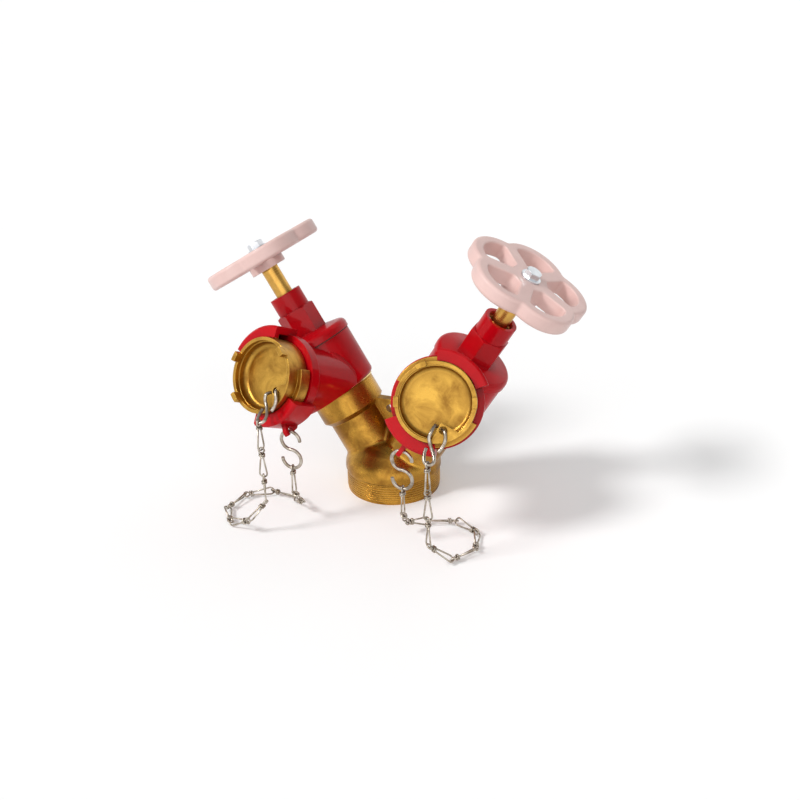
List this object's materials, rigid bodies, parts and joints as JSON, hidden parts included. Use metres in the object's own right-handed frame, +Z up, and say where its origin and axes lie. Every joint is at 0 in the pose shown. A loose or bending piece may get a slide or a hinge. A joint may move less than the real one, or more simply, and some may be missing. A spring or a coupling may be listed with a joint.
{
  "type": "double hydrant valve",
  "caption": "Brass Y piece on a threaded inlet carrying two red angle valves with lobed handwheels, claw-coupling outlets, brass caps and tether chains.",
  "frame": {"origin": "centre of the inlet thread's end face, on which it stands", "axes": "+Z up along the inlet, +X to the right valve, -Y towards the side the outlets face"},
  "size_m": [0.3516, 0.191, 0.2483],
  "materials": {
    "brass_casting": "cast, lightly tarnished",
    "ring_brass": "turned bright",
    "red_paint": "glossy enamel",
    "fibre": "matte fibre",
    "packing": "greased cord",
    "turned_brass": "turned",
    "rubber": "matte",
    "wheel_paint": "satin enamel",
    "zinc": "zinc plated",
    "cap_brass": "cast, faced rim",
    "wire": "drawn wire, dulled"
  },
  "bodies": {
    "fixed": {"y_body": "brass_casting", "left_joint_ring": "ring_brass", "left_valve_body": "red_paint", "left_bonnet_gasket": "fibre", "left_bonnet": "red_paint", "left_packing": "packing", "left_gland_nut": "turned_brass", "left_outlet_gasket": "rubber", "left_body_hook": "wire", "left_chain": "wire", "right_joint_ring": "ring_brass", "right_valve_body": "red_paint", "right_bonnet_gasket": "fibre", "right_bonnet": "red_paint", "right_packing": "packing", "right_gland_nut": "turned_brass", "right_outlet_gasket": "rubber", "right_body_hook": "wire", "right_chain": "wire"},
    "left_disc": {"left_valve_disc": "turned_brass", "left_stem_retainer": "turned_brass", "left_seat_washer": "rubber", "left_disc_nut": "turned_brass"},
    "left_wheel": {"left_stem": "turned_brass", "left_handwheel": "wheel_paint", "left_wheel_washer": "zinc", "left_wheel_bolt": "zinc"},
    "left_cap": {"left_cap": "cap_brass", "left_cap_hook": "wire"},
    "right_disc": {"right_valve_disc": "turned_brass", "right_stem_retainer": "turned_brass", "right_seat_washer": "rubber", "right_disc_nut": "turned_brass"},
    "right_wheel": {"right_stem": "turned_brass", "right_handwheel": "wheel_paint", "right_wheel_washer": "zinc", "right_wheel_bolt": "zinc"},
    "right_cap": {"right_cap": "cap_brass", "right_cap_hook": "wire"}
  },
  "joints": [
    {"name": "left_lift", "type": "slide", "parent": "fixed", "child": "left_disc", "axis": [-0.5225, 0, 0.8526], "range_m": [0, 0.016]},
    {"name": "left_wheel_turn", "type": "hinge", "parent": "left_disc", "child": "left_wheel", "pos_m": [-0.1045, 0, 0.17853], "axis": [-0.5225, 0, 0.8526], "range_deg": [0, 1440]},
    {"name": "left_cap_turn", "type": "hinge", "parent": "fixed", "child": "left_cap", "pos_m": [-0.07838, -0.0866, 0.1359], "axis": [-0.2612, -0.866, 0.4263], "range_deg": [0, 65], "deforming": ["left_chain"]},
    {"name": "right_lift", "type": "slide", "parent": "fixed", "child": "right_disc", "axis": [0.5225, 0, 0.8526], "range_m": [0, 0.016]},
    {"name": "right_wheel_turn", "type": "hinge", "parent": "right_disc", "child": "right_wheel", "pos_m": [0.1045, 0, 0.17853], "axis": [0.5225, 0, 0.8526], "range_deg": [0, 1440]},
    {"name": "right_cap_turn", "type": "hinge", "parent": "fixed", "child": "right_cap", "pos_m": [0.07838, -0.0866, 0.1359], "axis": [0.2612, -0.866, 0.4263], "range_deg": [0, 46], "deforming": ["right_chain"]}
  ],
  "couplings": [
    {"joint": "left_lift", "follows": "left_wheel_turn", "m_per_rad": 0.00063662},
    {"joint": "right_lift", "follows": "right_wheel_turn", "m_per_rad": 0.00063662}
  ]
}
